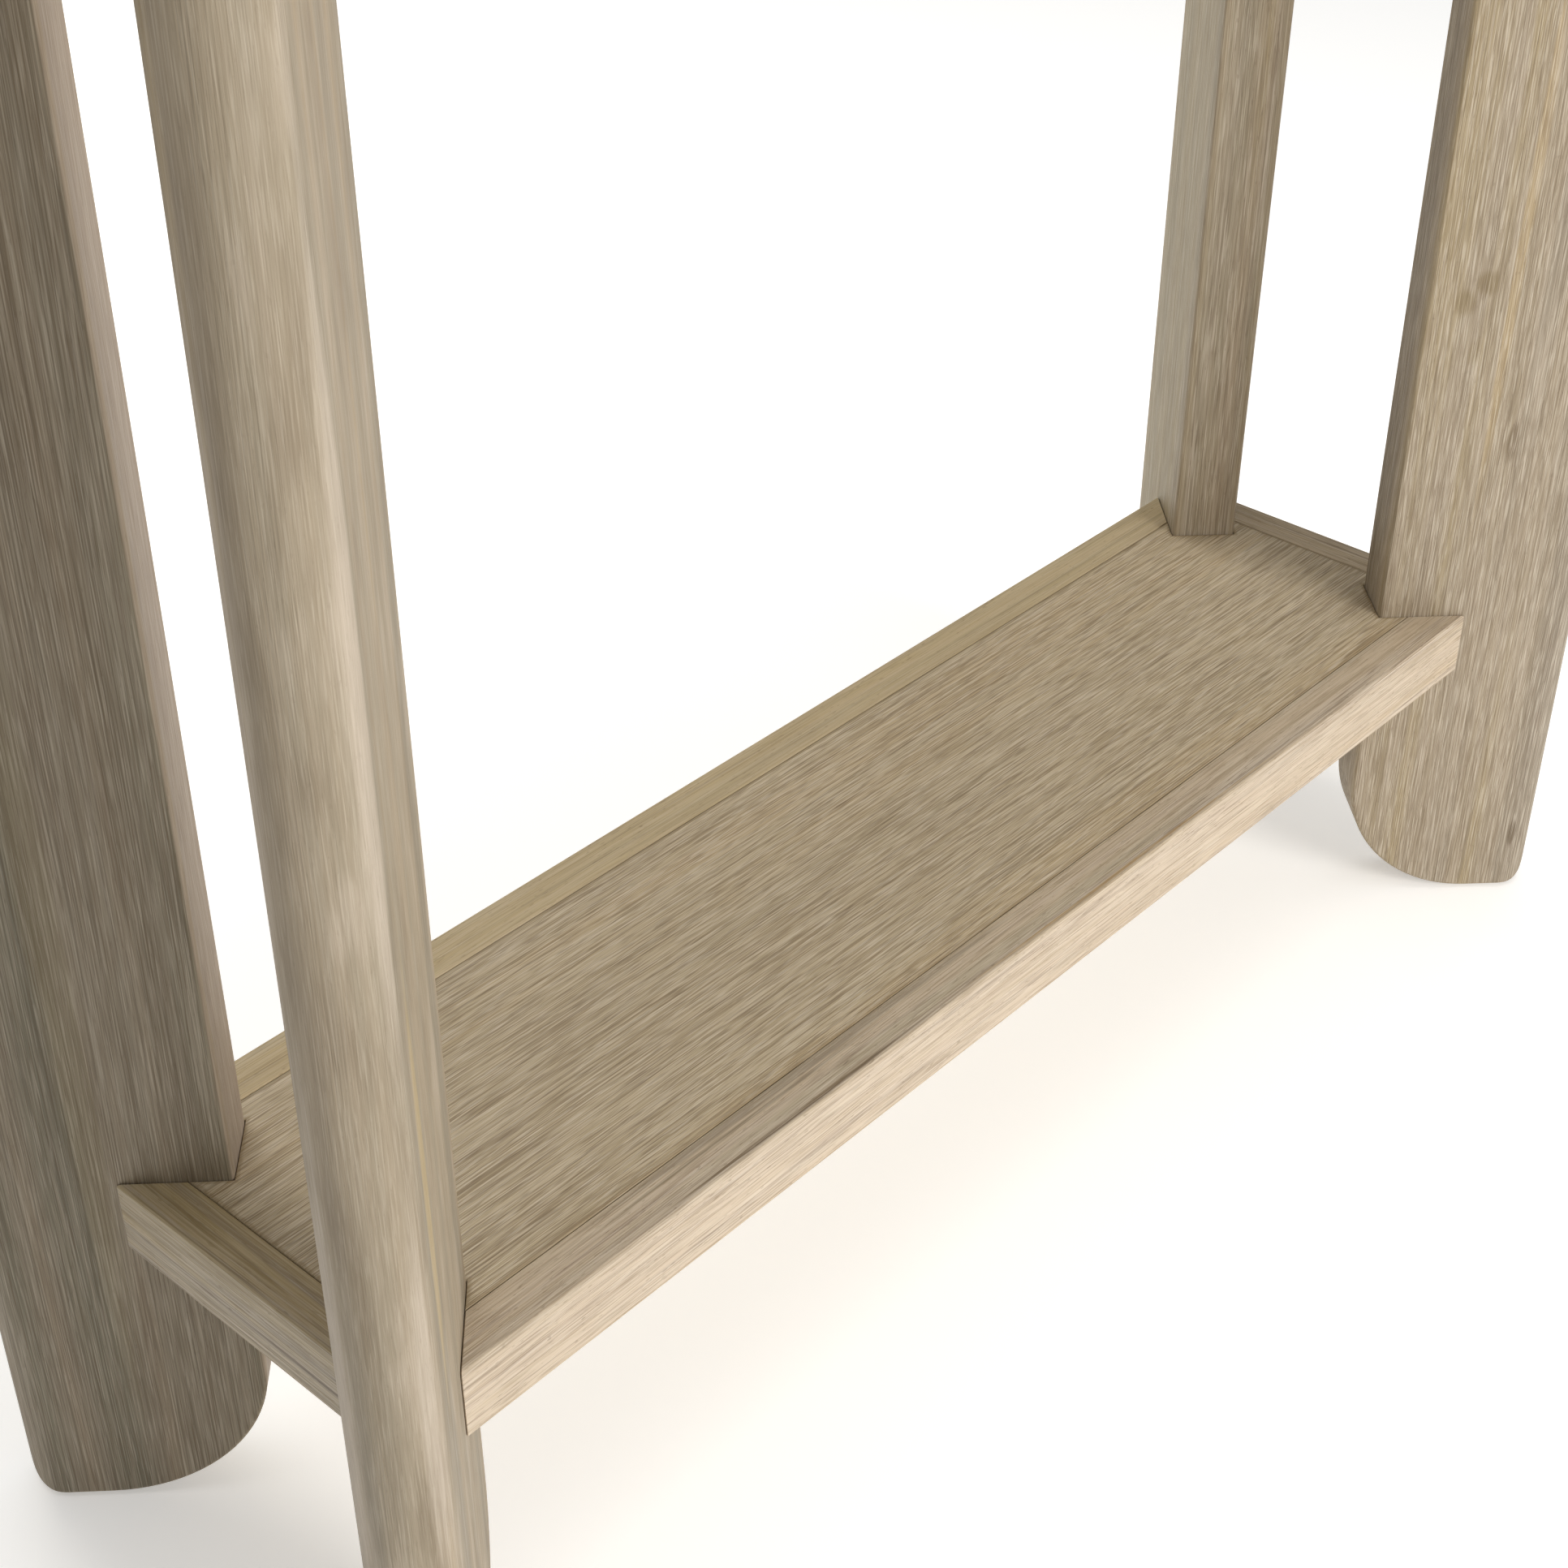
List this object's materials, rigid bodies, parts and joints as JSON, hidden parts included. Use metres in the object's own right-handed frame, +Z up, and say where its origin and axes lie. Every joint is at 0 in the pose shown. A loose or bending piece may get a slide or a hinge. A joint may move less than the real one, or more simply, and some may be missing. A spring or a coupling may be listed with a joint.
{
  "type": "console shelf",
  "caption": "Narrow open console: plank legs set diagonally at the corners hold a low framed shelf and a framed top; hidden braces, pads and bolts join them.",
  "frame": {"origin": "centre of the footprint on the floor", "axes": "+X along the length, +Z up, -Y is the front; the two long sides are mirror images"},
  "size_m": [0.9352, 0.3132, 0.825],
  "materials": {
    "leg_wood": "solid light hardwood, wire-brushed, grey-beige limed wash, matt clear coat",
    "strip_wood": "solid light hardwood edge strip, wire-brushed, grey-beige limed wash, matt clear coat",
    "panel_wood": "straight-grained glued hardwood panel, wire-brushed, grey-beige limed wash, matt clear coat",
    "hidden_wood": "planed hardwood, unstained",
    "bolt_steel": "zinc-plated steel",
    "insert_metal": "yellow-passivated zinc alloy",
    "screw_steel": "zinc-plated steel",
    "felt": "pressed wool felt"
  },
  "bodies": {
    "root": {"foot_glide_back_left": "felt", "foot_glide_back_right": "felt", "foot_glide_front_left": "felt", "foot_glide_front_right": "felt", "leg_back_left": "leg_wood", "leg_back_right": "leg_wood", "leg_front_left": "leg_wood", "leg_front_right": "leg_wood", "shelf_batten_left": "hidden_wood", "shelf_batten_right": "hidden_wood", "shelf_batten_screws": "screw_steel", "shelf_brace_back_left": "hidden_wood", "shelf_brace_back_right": "hidden_wood", "shelf_brace_front_left": "hidden_wood", "shelf_brace_front_right": "hidden_wood", "shelf_brace_screws": "screw_steel", "shelf_leg_bolts": "bolt_steel", "shelf_leg_inserts": "insert_metal", "shelf_leg_washers": "bolt_steel", "shelf_panel": "panel_wood", "shelf_strip_back": "strip_wood", "shelf_strip_front": "strip_wood", "shelf_strip_left": "strip_wood", "shelf_strip_right": "strip_wood", "top_batten_left": "hidden_wood", "top_batten_middle": "hidden_wood", "top_batten_right": "hidden_wood", "top_batten_screws": "screw_steel", "top_leg_bolts": "bolt_steel", "top_leg_inserts": "insert_metal", "top_leg_washers": "bolt_steel", "top_mitre_splines": "hidden_wood", "top_pad_back_left": "hidden_wood", "top_pad_back_right": "hidden_wood", "top_pad_front_left": "hidden_wood", "top_pad_front_right": "hidden_wood", "top_pad_screws": "screw_steel", "top_panel": "panel_wood", "top_strip_back": "strip_wood", "top_strip_front": "strip_wood", "top_strip_left": "strip_wood", "top_strip_right": "strip_wood"}
  },
  "joints": []
}
